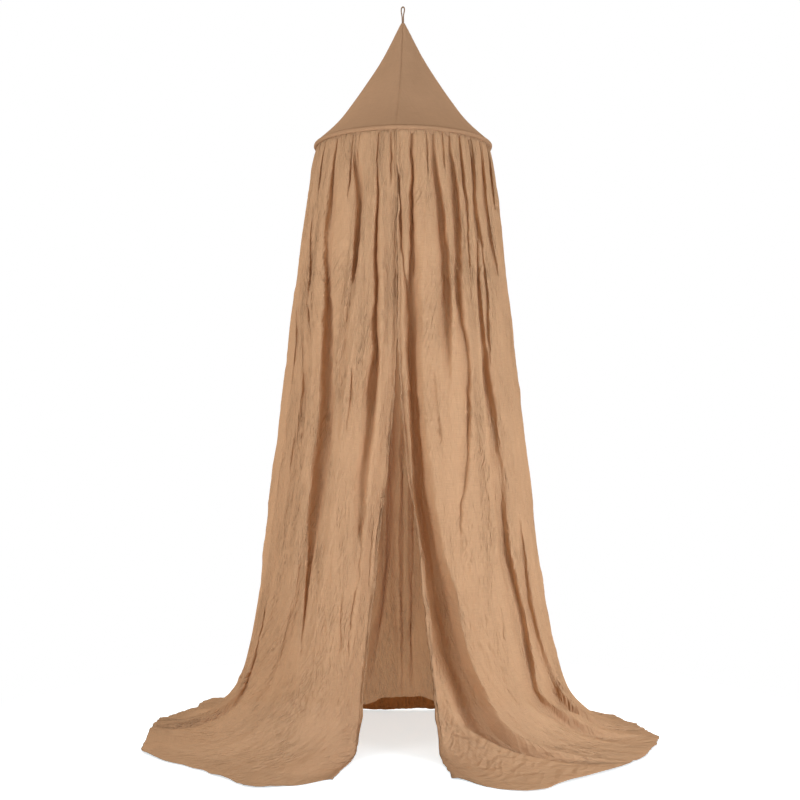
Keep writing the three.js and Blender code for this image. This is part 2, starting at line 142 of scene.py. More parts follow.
# The valleys of the front and sides, then three inside the back that show through the doorway.
# Each row has its share of the way down, azimuth, half width, depth share, and which border is
# lapped over: 1 the right one, -1 the left one.
VALLEYS = [
    [
        (0.028, 5.7, 0.004, 0.77, 0), (0.062, 5.8, 0.0054, 0.85, 0), (0.096, 5.8, 0.0073, 0.85, 0.3),
        (0.15, 5.4, 0.0092, 0.85, 0), (0.204, 5.4, 0.0124, 0.86, -0.3), (0.258, 5.4, 0.0148, 1.04, -0.4),
        (0.311, 5.6, 0.014, 1.21, -0.4), (0.364, 5.9, 0.0126, 1.37, -0.4),
        (0.417, 7.4, 0.0125, 1.49, -0.4), (0.469, 9.2, 0.0158, 1.49, -0.4), (0.522, 11, 0.02, 1.66, 0.4),
        (0.574, 13.4, 0.021, 1.66, 0.4), (0.626, 16.4, 0.024, 1.66, 0.4), (0.679, 19.4, 0.023, 1.66, 0.4),
        (0.718, 22, 0.023, 1.66, 0.4), (0.759, 26.4, 0.025, 1.62, 0.4), (0.84, 34, 0.024, 1.23, 0),
        (1, 58, 0.03, 0.28, 0),
    ],
    [
        (0.027, 17.7, 0.0064, 0.77, 0.6), (0.061, 18.5, 0.01, 0.85, 0.7), (0.095, 19.8, 0.01, 0.85, 0.8),
        (0.136, 21.2, 0.0115, 0.85, 0.8), (0.176, 22.2, 0.0116, 0.77, 0.8),
        (0.217, 22.2, 0.0108, 0.72, 0.8), (0.257, 21.7, 0.0129, 0.51, 0.7),
        (0.291, 21.4, 0.0114, 0.3, 0.5), (0.324, 21.5, 0.0086, 0.13, 0.3), (0.364, 21.4, 0.0057, 0, 0.3),
    ],
    [
        (0.025, 28.7, 0.0063, 0.77, 0.5), (0.059, 30.1, 0.0111, 0.85, 0.5),
        (0.093, 30.6, 0.0118, 0.85, 0.5), (0.134, 31, 0.0102, 0.77, 0), (0.175, 30.4, 0.0093, 0.68, -0.5),
        (0.216, 30.1, 0.0093, 0.68, -0.6), (0.256, 30, 0.0124, 0.51, -0.3),
        (0.29, 30.6, 0.0179, 0.42, 0.5), (0.323, 30.7, 0.0163, 0.31, 0.8),
        (0.363, 30.8, 0.0116, 0.36, 0.9), (0.403, 29.7, 0.013, 0.36, 0.9),
        (0.443, 27.9, 0.0157, 0.28, 0.8), (0.476, 26.7, 0.0103, 0.2, 0.6), (0.509, 25.2, 0.0043, 0.15, 0),
        (0.548, 24.3, 0.0029, 0.08, 0), (0.587, 23.7, 0.0028, 0, 0),
    ],
    [
        (0.023, 36.8, 0.0035, 0.39, 0), (0.057, 37.5, 0.0053, 0.39, 0), (0.091, 38.2, 0.0052, 0.39, 0),
        (0.126, 38, 0.0051, 0.33, 0), (0.16, 37.3, 0.0042, 0.23, 0), (0.201, 36.6, 0.0024, 0.13, 0),
        (0.235, 36.2, 0.0024, 0, 0),
    ],
    [
        (0.019, 46.2, 0.0085, 0.68, 0), (0.055, 44.9, 0.009, 0.77, 0), (0.09, 44.1, 0.0086, 0.77, -0.3),
        (0.124, 44.3, 0.0121, 0.77, -0.4), (0.159, 43.4, 0.0081, 0.59, 0), (0.2, 42.9, 0.0053, 0.42, 0),
        (0.241, 42.7, 0.0052, 0.42, 0), (0.282, 42.7, 0.0096, 0.59, -0.4),
        (0.322, 43.4, 0.0122, 0.77, -0.6), (0.363, 44.7, 0.0178, 0.85, -0.8),
        (0.417, 45.2, 0.0213, 0.53, -0.8), (0.47, 45.9, 0.0266, 0.53, -0.8),
        (0.524, 45.4, 0.0217, 0.53, -0.4), (0.563, 45.3, 0.0215, 0.53, 0),
        (0.604, 46.7, 0.0305, 0.53, 0.4), (0.657, 48.3, 0.0337, 0.53, 0.8),
        (0.711, 49.6, 0.0332, 0.53, 0.8), (0.754, 50, 0.0312, 0.53, 0.5), (0.84, 62.5, 0.034, 0.77, 0.3),
        (1, 85, 0.04, 0.26, 0),
    ],
    [
        (0.11, 46.3, 0.0079, 0, 0), (0.137, 46.8, 0.008, 0.32, 0.3), (0.172, 46.9, 0.0078, 0.4, 0),
        (0.213, 47.7, 0.0087, 0.4, 0), (0.254, 47.1, 0.0075, 0.36, 0), (0.288, 46.8, 0.0074, 0.24, 0),
        (0.322, 46.4, 0.0055, 0, 0),
    ],
    [
        (0.015, 57.4, 0.0105, 0.56, 0), (0.051, 56.1, 0.0112, 0.64, 0), (0.086, 55.1, 0.0094, 0.56, 0),
        (0.114, 56.1, 0.0083, 0.48, 0), (0.141, 57.7, 0.0073, 0.4, 0), (0.171, 60.1, 0.0079, 0.24, 0),
        (0.202, 60.9, 0.0065, 0, 0),
    ],
    [
        (0.009, 70.9, 0.015, 0.6, 0), (0.038, 68.3, 0.0123, 0.6, 0), (0.067, 67.6, 0.0116, 0.5, 0),
        (0.103, 66.4, 0.0086, 0, 0),
    ],
    [
        (0.505, 59.7, 0.0058, 0, -0.9), (0.539, 58.5, 0.0079, 0.19, -0.9),
        (0.579, 58.4, 0.0128, 0.39, -0.9), (0.62, 58, 0.0156, 0.5, -0.9),
        (0.66, 58.3, 0.0183, 0.55, -0.9), (0.702, 59.9, 0.023, 0.55, -0.9),
        (0.746, 63.5, 0.0316, 0.55, -0.9), (0.779, 65.3, 0.0406, 1, -0.2), (0.84, 76, 0.034, 0.9, 0),
        (1, 92, 0.04, 0.3, 0),
    ],
    [
        (0.041, -3.9, 0.0027, 0.45, 0), (0.075, -2.4, 0.0027, 0.6, 0), (0.109, -1.1, 0.0023, 0.6, 0),
        (0.15, 0.1, 0.0029, 0.6, 0), (0.19, 1.0, 0.0032, 0.7, 0), (0.224, 1.8, 0.0042, 0.75, 0),
        (0.251, 2.3, 0.0039, 0.3, 0), (0.277, 2.6, 0.0026, 0.0, 0),
    ],
    [
        (0.041, 344.6, 0.002, 0, 0), (0.057, 345, 0.0034, 0.42, 0), (0.082, 345.2, 0.0056, 0.77, 0.2),
        (0.122, 345.3, 0.0068, 0.85, 0.3), (0.163, 345.4, 0.0069, 0.85, 0.3),
        (0.203, 345.3, 0.0075, 0.85, 0.4), (0.257, 345.2, 0.0089, 0.85, 0.5),
        (0.31, 344.9, 0.0098, 0.85, 0.6), (0.35, 344, 0.0103, 0.85, 0.7), (0.39, 343.1, 0.012, 0.54, 0.8),
        (0.43, 341.5, 0.0118, 0.48, 0.7), (0.47, 340, 0.0109, 0.36, 0.5),
        (0.509, 339.3, 0.0089, 0.24, 0.3), (0.549, 338.4, 0.0064, 0.12, 0), (0.589, 337.9, 0.004, 0, 0),
    ],
    [
        (0.025, 330.7, 0.0063, 0.42, 0), (0.046, 331.7, 0.0104, 0.85, 0),
        (0.08, 333.4, 0.0103, 0.85, 0.4), (0.115, 334.8, 0.0082, 0.77, 0.5),
        (0.149, 334.4, 0.0094, 0.77, 0.3), (0.176, 334.7, 0.0086, 0.68, 0),
        (0.192, 334.2, 0.0057, 0.51, -0.3), (0.21, 333.6, 0.0027, 0, 0),
    ],
    [
        (0.02, 314.3, 0.0073, 0.42, 0.6), (0.055, 315.4, 0.01, 0.51, 0.8),
        (0.09, 315.7, 0.0137, 0.59, 0.8), (0.118, 315.6, 0.0145, 0.59, 0.6),
        (0.152, 316.4, 0.0141, 0.51, 0.3), (0.187, 317.5, 0.0118, 0.51, 0),
        (0.214, 318.8, 0.0109, 0.68, 0), (0.242, 319.8, 0.0161, 0.85, 0.2),
        (0.283, 321.1, 0.0165, 0.85, 0.2), (0.323, 322, 0.0159, 0.85, 0.3),
        (0.363, 322.6, 0.0158, 0.85, 0.3), (0.403, 322.8, 0.0159, 0.85, 0.5),
        (0.443, 322, 0.0185, 0.85, 0.6), (0.483, 321.1, 0.0148, 0.77, 0.5),
        (0.523, 320.4, 0.0119, 0.68, 0.4), (0.562, 319.8, 0.0084, 0.51, 0.2),
        (0.602, 319.3, 0.0064, 0.42, 0), (0.642, 319.1, 0.0049, 0.34, 0), (0.675, 318.7, 0.0035, 0.17, 0),
        (0.709, 318.3, 0.0042, 0, 0),
    ],
    [
        (0.084, 299.2, 0.0101, 0, 0), (0.119, 299.3, 0.01, 0.22, 0), (0.155, 301.3, 0.0091, 0.28, 0),
        (0.19, 304.1, 0.0094, 0.28, 0), (0.225, 303.7, 0.0082, 0.22, 0), (0.253, 307.8, 0.0071, 0.19, 0),
        (0.281, 311, 0.0043, 0, 0),
    ],
    [
        (0.273, 303, 0.0086, 0, 0), (0.308, 306.6, 0.0112, 0.28, 0.4), (0.349, 308.6, 0.0121, 0.33, 0.5),
        (0.389, 308.9, 0.0161, 0.33, 0.6), (0.43, 307.2, 0.0183, 0.33, 0.7),
        (0.471, 306.7, 0.0173, 0.28, 0.7), (0.511, 306.5, 0.0156, 0.25, 0.6),
        (0.551, 305.7, 0.0114, 0.17, 0.5), (0.592, 305, 0.0077, 0, 0),
    ],
    [
        (0.203, 289, 0.01, 0, 0), (0.25, 292.8, 0.014, 0.2, 0), (0.285, 297.1, 0.0111, 0.2, 0),
        (0.32, 297.6, 0.0109, 0.15, 0), (0.362, 298.1, 0.0071, 0, 0),
    ],
    [
        (0.635, 295, 0.0067, 0, 0), (0.663, 295.2, 0.0065, 0.22, 0.3), (0.698, 294.3, 0.0107, 0.39, 0.5),
        (0.735, 292.1, 0.0142, 0.5, 0.5), (0.776, 289.6, 0.0159, 0.5, 0.4), (0.86, 279, 0.03, 0.9, 0.3),
        (1, 264, 0.035, 0.3, 0),
    ],
    [
        (0.629, 314.8, 0.0105, 0, 0.3), (0.67, 312.9, 0.0128, 0.15, 0.3),
        (0.712, 310.2, 0.0161, 0.17, 0.3), (0.756, 307.4, 0.0265, 0.17, 0.2),
        (0.792, 304.8, 0.0426, 0.15, 0), (0.86, 303, 0.03, 0.15, 0), (1, 292, 0.03, 0.05, 0),
    ],
    [
        (0.321, 334.4, 0.0026, 0, 0), (0.344, 334.2, 0.0029, 0.16, 0), (0.37, 333.7, 0.0029, 0.16, 0),
        (0.397, 333.2, 0.0026, 0.12, 0), (0.414, 333.2, 0.0025, 0, 0),
    ],
    [
        (0.602, 338.1, 0.0019, 0, 0), (0.628, 336.9, 0.0023, 0.12, 0), (0.661, 335.0, 0.0025, 0.14, 0),
        (0.692, 334.1, 0.0022, 0.12, 0), (0.715, 333.8, 0.0017, 0, 0),
    ],
    [
        (0.615, 332.7, 0.0021, 0, 0), (0.644, 332.1, 0.0026, 0.12, 0), (0.681, 331.8, 0.0021, 0.12, 0),
        (0.705, 331.5, 0.0019, 0, 0),
    ],
    [
        (0.503, 338.5, 0.0023, 0, 0), (0.529, 338.9, 0.0027, 0.12, 0), (0.56, 339.7, 0.0025, 0.12, 0),
        (0.589, 338.5, 0.0024, 0.12, 0), (0.615, 338.0, 0.0023, 0, 0),
    ],
    [
        (0.516, 344.0, 0.0022, 0, 0), (0.543, 342.8, 0.0025, 0.12, 0), (0.576, 342.3, 0.0025, 0.12, 0),
        (0.616, 341.5, 0.002, 0.1, 0), (0.643, 341.0, 0.0018, 0, 0),
    ],
    [
        (0.318, 14.5, 0.0027, 0, 0), (0.344, 14.9, 0.003, 0.1, 0), (0.377, 15.4, 0.0027, 0.1, 0),
        (0.403, 16.4, 0.003, 0.12, 0), (0.427, 17.2, 0.0027, 0, 0),
    ],
    [
        (0.629, 40.7, 0.0032, 0, 0), (0.648, 40.9, 0.0035, 0.12, 0), (0.671, 40.7, 0.0035, 0.12, 0),
        (0.688, 40.4, 0.0031, 0, 0),
    ],
    [
        (0.566, 315.6, 0.0027, 0, 0), (0.596, 315.7, 0.0036, 0.06, 0.4), (0.629, 315.1, 0.004, 0.06, 0.4),
        (0.677, 313.4, 0.0042, 0.05, 0.4), (0.725, 310.8, 0.004, 0, 0),
    ],
    [
        (0.36, 184, 0.004, 0, 0), (0.46, 185, 0.006, 0.3, 0.5), (0.65, 187, 0.008, 0.42, 0.6),
        (0.78, 191, 0.009, 0.42, 0.6), (0.88, 197, 0.008, 0.5, 0.3), (0.96, 200, 0.006, 0, 0),
    ],
    [
        (0.42, 179, 0.003, 0, 0), (0.52, 179.6, 0.0045, 0.3, -0.5), (0.72, 180.4, 0.005, 0.34, -0.5),
        (0.9, 180.6, 0.0045, 0.4, -0.3), (0.97, 181, 0.004, 0, 0),
    ],
    [
        (0.5, 172.5, 0.004, 0, 0), (0.6, 173, 0.005, 0.28, 0.5), (0.8, 174.5, 0.006, 0.3, 0.4),
        (0.93, 175.5, 0.005, 0.2, 0), (0.98, 176, 0.004, 0, 0),
    ],
]
# Narrow pleats under the hoop: azimuth, and share of the way down that each one runs
FRONT_PLEATS = [
    (4.7, 0.05), (14, 0.07), (24.5, 0.06), (37.2, 0.1), (45.8, 0.07), (57.5, 0.08), (70, 0.07),
    (301, 0.08), (314.4, 0.14), (327.4, 0.1), (332.5, 0.05), (344.6, 0.06), (352.4, 0.08),
]
BACK_PLEATS = [(81 + 11 * k + 2.5 * (k % 3), 0.06 + 0.02 * (k % 4)) for k in range(20)]
# A pleat's rows: share of its run, half width and depth share
PLEAT_ROWS = [(0, 0.0016, 0.8), (0.6, 0.0016, 0.6), (1, 0.001, 0)]
for pleat_azimuth, run in FRONT_PLEATS + BACK_PLEATS:
    VALLEYS.append([(at * run, pleat_azimuth, half, deep, 0) for at, half, deep in PLEAT_ROWS])
# How far a back fold's crest laps over its valley, and how much less it does so lower down
LAP_FADES = [0.8, 0.7, 0.5, 0.5, 0.4, 0]
LAPS = [0.010, 0.016, 0.024, 0.032, 0.034, 0.028, 0.014, 0]
BACK_WALL_STEEPNESS = 2.4
# A valley's walls: the least width, the share of the half width, what a lapped wall adds, the slope
LEAST_WALL = 0.0018
WALL_SHARE = 0.16
LAPPED_WALL_SHARE = 0.34
WALL_STEEPNESS = 2.2
LEAST_LAP = 0.003
LAP_SHARE = 0.3
LEAN_SHARE = 1.05
LAP_LOSS = 0.7
LAP_LOSS_LEVELS = (0.7, 0.9)
DEEPEST_SHARE = 1.8
# Within these counts of folds from a free edge the cloth lies flat, and the two edges meet
EDGE_FLAT_FOLDS = 0.8
EDGE_MEET_FOLDS = 1.2
# Waves along one line: height, count over the whole line, and seed. The sways also step by valley.
HEM_WAVES = [(0.009, 1.3, 40), (0.006, 4.1, 41)]
SWAYS = [(0.0016, 60, 7.3, 14), (0.0026, 22, 3.1, 15)]
RIGHT_EDGE_WAVES = [(0.0030, 38, 16), (0.0016, 90, 17)]
LEFT_EDGE_WAVES = [(0.0030, 35, 18), (0.0016, 95, 19)]
# Where the free edges close the doorway under the hoop, and how far each one comes over
MEET_LEVELS = [0, 0.1, 0.2, 0.28, 0.34, 0.42]
MEETS = [0.0016, 0.0016, 0.0032, 0.0062, 0.0045, 0]
# How far out the cloth is where it meets the floor, and at the hem
FLOOR_AZIMUTHS = [
    19, 26, 30, 37, 48, 60, 75, 97, 125, 145, 160, 180, 200, 215, 235, 262, 276, 294, 310, 319, 327, 335,
]
FLOOR_SHARES = [
    0.69, 0.74, 0.79, 0.92, 0.955, 1, 1.03, 1.035, 0.98, 0.86, 0.775, 0.755, 0.775, 0.86, 0.98, 1,
    1.005, 0.965, 0.93, 0.88, 0.78, 0.62,
]
HEM_AZIMUTHS = [
    16, 20, 23, 26, 30, 34, 40, 53, 64, 75, 86, 96, 107, 122, 145, 160, 180, 200, 213, 222, 230, 241,
    254, 265, 275, 284, 296, 308, 320, 326, 334.5, 339.6,
]
HEM_SHARES = [
    0.74, 0.88, 0.94, 0.985, 0.995, 0.967, 0.955, 0.97, 0.988, 1.012, 1.037, 1.01, 1, 0.935, 0.7, 0.55,
    0.51, 0.55, 0.78, 1.13, 1.165, 1.08, 1.09, 1.06, 1.045, 1.053, 1.007, 0.95, 0.957, 0.985, 0.89, 0.76,
]
# How much of the cloth lies on the floor, how softly it bends there, and how its side bellies
SIDE_AZIMUTHS = [19, 40, 85, 110, 125, 145, 160, 170, 190, 200, 215, 235, 250, 315, 335]
TRAIN_SHARES = [1, 1, 1, 1, 1, 0.625, 0.22, 0.09, 0.09, 0.22, 0.625, 1, 1, 1, 1]
BEND_SHARES = [
    0.016, 0.04, 0.04, 0.04, 0.035, 0.02, 0.008, 0.005, 0.005, 0.008, 0.02, 0.04, 0.045, 0.04, 0.016,
]
HIGH_BELLY_SHARES = [0, 0.05, 0, 0.02, 0.05, 0, 0, 0, 0, 0, 0, 0.1, 0.15, 0.1, 0]
LOW_BELLY_SHARES = [-0.2, -0.4, -0.8, -0.8, -0.4, 0, 0, 0, 0, 0, 0, -0.15, -0.25, -0.15, 0]
# The crown's profile, from the hoop up to the tip
CROWN_HEIGHTS = [0, 0.11, 0.2, 0.31, 0.46, 0.715, 1]
CROWN_FLARES = [1, 0.825, 0.705, 0.587, 0.437, 0.205, 0]

# The relief of the crumpled cloth: height, breadth and length in metres, and seed
DRIFT = (0.012, 0.11, 0.23, 3)
PATCHES = (0.9, 0.17, 0.42, 4)
PATCH_LEVEL = 0.55
PATCH_LIMITS = (0.05, 1.4)
WIDE_SWELL = (0.007, 0.080, 0.60, 5)
NARROW_SWELL = (0.003, 0.035, 0.20, 12)
HANG_LINES = (0.0045, 0.036, 0.16, 6)
CRINKLES = (0.0030, 0.014, 0.050, 7)
SMOOTH_TOP = 0.01
SMOOTH_TOP_FADE = 0.22
SMOOTH_TOP_POWER = 0.7
FLOOR_FLATTENING = 0.45

# Single creases: how many, where they crowd, and their lean, length, width, height and curve
CREASE_COUNT = 1500
CREASE_SEED = 11
CREASE_TOP = 0.03
CREASE_FOOT = 0.02
CROWDS = (0.9, 0.16, 0.38, 4)
CROWD_LEVEL = 0.45
CRUSHED_FROM = 3.15
CRUSHED_DOWN_TO = 0.75
CRUSHED_CROWD = 0.35
CREASE_LEAN = (0, 0.20)
CRUSHED_LEAN = (0.42, 0.22)
CREASE_LENGTHS = (0.02, 0.085)
CREASE_WIDTHS = (0.004, 0.008)
CREASE_HEIGHTS = (0.0015, 0.0040)
CREASE_CURVE = 1.2
CREASE_BLUNTNESS = 0.05

# The roll of the free edges: height, distance from the edge, and width of each bell
EDGE_BELLS = [(0.0032, 0.004, 0.005), (-0.0022, 0.017, 0.005)]
FORWARD_BELL = (0.017, 0.013)
RIGHT_FORWARD = 0.015
LEFT_FORWARD = 0.005
FORWARD_RISE = (0.42, 0.6)
FORWARD_FALL = (0.84, 0.94)

# Curtain panels
COLUMNS = 270
ROWS = 330
HEM_DEPTH = 0.08
EDGE_DEPTH = 0.012
HEM_STEP = 0.0009
UV_MARGIN = 0.05

# Colours as they show on a screen, 0 to 255
CURTAIN_COLOUR = (205, 166, 130)
# The hem's turned-back inner layer is real; its darker, warmer colour than the curtain's is painted shade
HEM_PAINTED_SHADE_COLOUR = (196, 150, 104)
# The hoop strip is the curtain's own cloth; its darker colour is painted shade
STRIP_PAINTED_SHADE_COLOUR = (167, 131, 101)
# The crown is the curtain's own cloth, stretched; its darker colour is painted shade
CROWN_PAINTED_SHADE_COLOUR = (173, 138, 108)
LOOP_COLOUR = (134, 104, 80)
TUBE_COLOUR = (232, 228, 220)
JOINER_COLOUR = (140, 140, 136)
GLOW_TINT = (1, 0.98, 0.92)


def smooth_table(knots, values, at):
    """A monotone cubic through a table, for an array of places."""
    knots, values = np.asarray(knots, float), np.asarray(values, float)
    at = np.clip(np.asarray(at, float), knots[0], knots[-1])
    rise = np.diff(values) / np.diff(knots)
    product = rise[:-1] * rise[1:]
    total = np.where(product > 0, rise[:-1] + rise[1:], 1)
    middle = np.where(product > 0, 2 * product / total, 0)
    slope = np.concatenate([rise[:1], middle, rise[-1:]])
    i = np.clip(np.searchsorted(knots, at, side="left") - 1, 0, len(knots) - 2)
    span = knots[i + 1] - knots[i]
    t = (at - knots[i]) / span
    start = (1 + 2 * t) * (1 - t) ** 2
    bends = t * (1 - t) ** 2 * slope[i] - t**2 * (1 - t) * slope[i + 1]
    return start * values[i] + (1 - start) * values[i + 1] + span * bends


def smooth_step(at, low, high):
    """A smooth rise from 0 at low to 1 at high."""
    t = np.clip((at - low) / (high - low), 0, 1)
    return t**2 * (3 - 2 * t)


def gradient_noise(x, y, seed):
    """Smooth noise between about -1 and 1 on arrays of coordinates."""
    table = np.random.default_rng(seed).uniform(0, 2 * math.pi, (256, 256))
    column, row = np.floor(x).astype(int), np.floor(y).astype(int)
    fx, fy = x - column, y - row
    wx = fx**3 * (fx * (fx * 6 - 15) + 10)
    wy = fy**3 * (fy * (fy * 6 - 15) + 10)

    def corner(dx, dy):
        angle = table[(column + dx) % 256, (row + dy) % 256]
        return np.cos(angle) * (fx - dx) + np.sin(angle) * (fy - dy)

    low = corner(0, 0) * (1 - wx) + corner(1, 0) * wx
    high = corner(0, 1) * (1 - wx) + corner(1, 1) * wx
    return 1.5 * (low * (1 - wy) + high * wy)


def ridges(x, y, seed):
    """Noise folded at zero, with sharp ridges on a soft ground, about 0 on average."""
    middle, bluntness = 0.35, 0.002
    return middle - np.sqrt(gradient_noise(x, y, seed) ** 2 + bluntness)


def cloth_noise(u, v, layer, kind=gradient_noise):
    """One layer of relief over the cloth's own flat coordinates in metres."""
    height, breadth, length, seed = layer
    return height * kind(u / breadth, v / length, seed)


def wave(x, seed):
    """Smooth noise along one line."""
    return gradient_noise(x, 0 * x + 0.5, seed)


def waves(x, layers):
    """Waves of several sizes along one line, added up."""
    return sum(height * wave(x * count, seed) for height, count, seed in layers)


def bell(x, centre, width):
    """A bell curve, 1 at its centre."""
    return np.exp(-(((x - centre) / width) ** 2))


def soft_share(x):
    """A smooth rise from 0 to 1 as x goes from well below zero to well above it."""
    return np.exp(-np.logaddexp(0, -x))


def table_down(knots, values, down):
    """A table down the cloth, as a column that spreads over a grid."""
    return smooth_table(knots, values, down)[:, None]


def back_fold(azimuth, centre, deep, crest, width, lap):
    """A back fold's share of the depth, where its valley lies, and how far it shifts sideways."""
    away = (np.radians(azimuth - centre) * crest + lap / 2) / width
    steepness = BACK_WALL_STEEPNESS
    walls = np.tanh(steepness * (away + 1)) - np.tanh(steepness * (away - 1))
    share = deep * walls / (2 * math.tanh(steepness))
    return share, lap * share


def valley(azimuth, number, rows, down, crest, depth):
    """A traced valley's share of the depth, the lean of its depth, and how far it shifts sideways."""
    knots, *columns = np.array(rows).T
    centre, half, deep, side = (table_down(knots, values, down) for values in columns)
    d = down[:, None]
    sway = sum(size * wave(d * count + step * number, seed) for size, count, step, seed in SWAYS)
    away = np.radians(azimuth - centre) * crest + sway
    left_wall = LEAST_WALL + half * (WALL_SHARE + LAPPED_WALL_SHARE * np.maximum(side, 0))
    right_wall = LEAST_WALL + half * (WALL_SHARE + LAPPED_WALL_SHARE * np.maximum(-side, 0))
    left = soft_share(WALL_STEEPNESS * (away + half) / left_wall)
    right = soft_share(-WALL_STEEPNESS * (away - half) / right_wall)
    share = deep * left * right
    # Towards the sides a valley runs back along the line of sight, not in to the middle
    lean = np.radians((centre + 90) % 180 - 90) * LEAN_SHARE
    held = 1 - LAP_LOSS * smooth_step(d, *LAP_LOSS_LEVELS)
    return share, lean, (depth * np.sin(lean) + side * (LEAST_LAP + LAP_SHARE * half)) * share * held


def curtain_surface(across, down):
    """The curtain's folded shape without its crumples, and how far each place lies flat on the floor."""
    azimuths = np.stack([smooth_table(LEVELS, line, down) for line in FOLD_AZIMUTHS], axis=1)
    line = np.clip(np.floor(across).astype(int), 0, LAST_LINE - 1)
    share = across - line

    def azimuth_at(level):
        at = np.array([smooth_table(LEVELS, row, level) for row in FOLD_AZIMUTHS])
        return (1 - share) * at[line] + share * at[line + 1]

    floor_azimuth = azimuth_at(DROP_SHARE)
    floor_radius = FLOOR_REACH * smooth_table(FLOOR_AZIMUTHS, FLOOR_SHARES, floor_azimuth)
    hem_radius = HEM_REACH * smooth_table(HEM_AZIMUTHS, HEM_SHARES, azimuth_at(1))
    hem_radius = hem_radius * (1 + waves(across, HEM_WAVES))
    drop_share = 1 - (1 - DROP_SHARE) * smooth_table(SIDE_AZIMUTHS, TRAIN_SHARES, floor_azimuth)
    bend_share = smooth_table(SIDE_AZIMUTHS, BEND_SHARES, floor_azimuth)
    high_belly = smooth_table(SIDE_AZIMUTHS, HIGH_BELLY_SHARES, floor_azimuth)
    low_belly = smooth_table(SIDE_AZIMUTHS, LOW_BELLY_SHARES, floor_azimuth)

    # The crest line: down to the floor, round a soft bend, and out along it
    drop = CURTAIN_TOP - FLOOR - CLOTH / 2
    d = down[:, None]
    before_floor = (drop_share - d) / bend_share
    above = bend_share * np.logaddexp(0, before_floor)
    beyond = above - (drop_share - d)
    hung = 1 - above / drop_share
    spread = (hem_radius - floor_radius) / (1 - drop_share)
    outward = hung + hung * (1 - hung) * (high_belly * (1 - hung) + low_belly * hung)
    crest = CURTAIN_RADIUS + (floor_radius - CURTAIN_RADIUS) * outward + spread * beyond
    crest = crest - TOP_TUCK * np.exp(-d / TOP_TUCK_RUN)
    crest_height = drop * above / drop_share

    # Folds and valleys
    azimuth = (1 - share) * azimuths[:, line] + share * azimuths[:, line + 1]
    width = VALLEY_WIDTH * table_down(DEPTH_LEVELS, VALLEY_WIDTH_SHARES, down)
    from_edge = smooth_step(np.minimum(across, LAST_LINE - across), 0, EDGE_FLAT_FOLDS)
    lap = table_down(DEPTH_LEVELS, LAPS, down) * from_edge * table_down(LEVELS, LAP_FADES, down)
    shallow = PLEAT_DEPTH + (HEM_RIPPLE - PLEAT_DEPTH) * d
    depth = shallow + (FOLD_DEPTH - shallow) * table_down(DEPTH_LEVELS, FOLD_DEPTH_SHARES, down)
    plain, inward, shift = np.ones_like(azimuth), np.zeros_like(azimuth), np.zeros_like(azimuth)
    for i, depths in enumerate(BACK_FOLD_DEPTHS, FIRST_BACK_FOLD):
        deep = table_down(LEVELS, depths, down)
        share_here, shift_here = back_fold(azimuth, azimuths[:, i : i + 1], deep, crest, width, lap)
        plain *= 1 - np.minimum(share_here, 1)
        inward += depth * share_here
        shift += shift_here
    for i, rows in enumerate(VALLEYS):
        share_here, lean, shift_here = valley(azimuth, i, rows, down, crest, depth)
        plain *= 1 - share_here
        inward += depth * share_here * np.cos(lean)
        shift += shift_here
    inward = np.minimum(inward, DEEPEST_SHARE * depth)

    # On the floor the folds stand up instead of running in
    lie = soft_share(-before_floor)
    radius = crest - inward * np.cos(lie * math.pi / 2)
    height = crest_height + depth * np.maximum(plain, 0) * np.sin(lie * math.pi / 2) * from_edge
    meet = table_down(MEET_LEVELS, MEETS, down)
    near_right = np.clip(1 - across / EDGE_MEET_FOLDS, 0, 1) ** 2
    near_left = np.clip(1 - (LAST_LINE - across) / EDGE_MEET_FOLDS, 0, 1) ** 2
    edge = waves(d, RIGHT_EDGE_WAVES) * near_right**2 + waves(d, LEFT_EDGE_WAVES) * near_left**2
    turned = np.radians(azimuth) + (shift + meet * (near_left - near_right) + edge) / crest
    z = FLOOR + CLOTH / 2 + height
    return np.stack([radius * np.sin(turned), -radius * np.cos(turned), z], axis=-1), lie


def grid_normals(points):
    """Outward normals of a grid whose rows run down and columns run to the right."""
    down, right = np.gradient(points, axis=0), np.gradient(points, axis=1)
    normals = np.cross(down, right)
    return normals / np.maximum(np.linalg.norm(normals, axis=-1, keepdims=True), 1e-9)


def crease_list():
    """Single creases over the whole curtain: place, lean, length, width, height and curve."""
    chance = np.random.default_rng(CREASE_SEED)
    total = 4 * PANEL_WIDTH
    listed = []
    while len(listed) < CREASE_COUNT:
        u, v = chance.uniform(0, total), chance.uniform(CREASE_TOP, CLOTH_LENGTH - CREASE_FOOT)
        crushed = v < CRUSHED_DOWN_TO and u > CRUSHED_FROM * PANEL_WIDTH
        crowd = CROWD_LEVEL + cloth_noise(np.array(u), np.array(v), CROWDS)
        crowd += CRUSHED_CROWD * crushed
        if chance.uniform(0, 1) > crowd:
            continue
        lean = chance.normal(*CREASE_LEAN)
        if crushed:
            lean = chance.normal(*CRUSHED_LEAN)
        length, width = chance.uniform(*CREASE_LENGTHS), chance.uniform(*CREASE_WIDTHS)
        height = chance.uniform(*CREASE_HEIGHTS) * chance.choice([-1, 1, 1])
        listed.append((u, v, lean, length, width, height, chance.normal(0, CREASE_CURVE)))
    return listed


CREASES = crease_list()


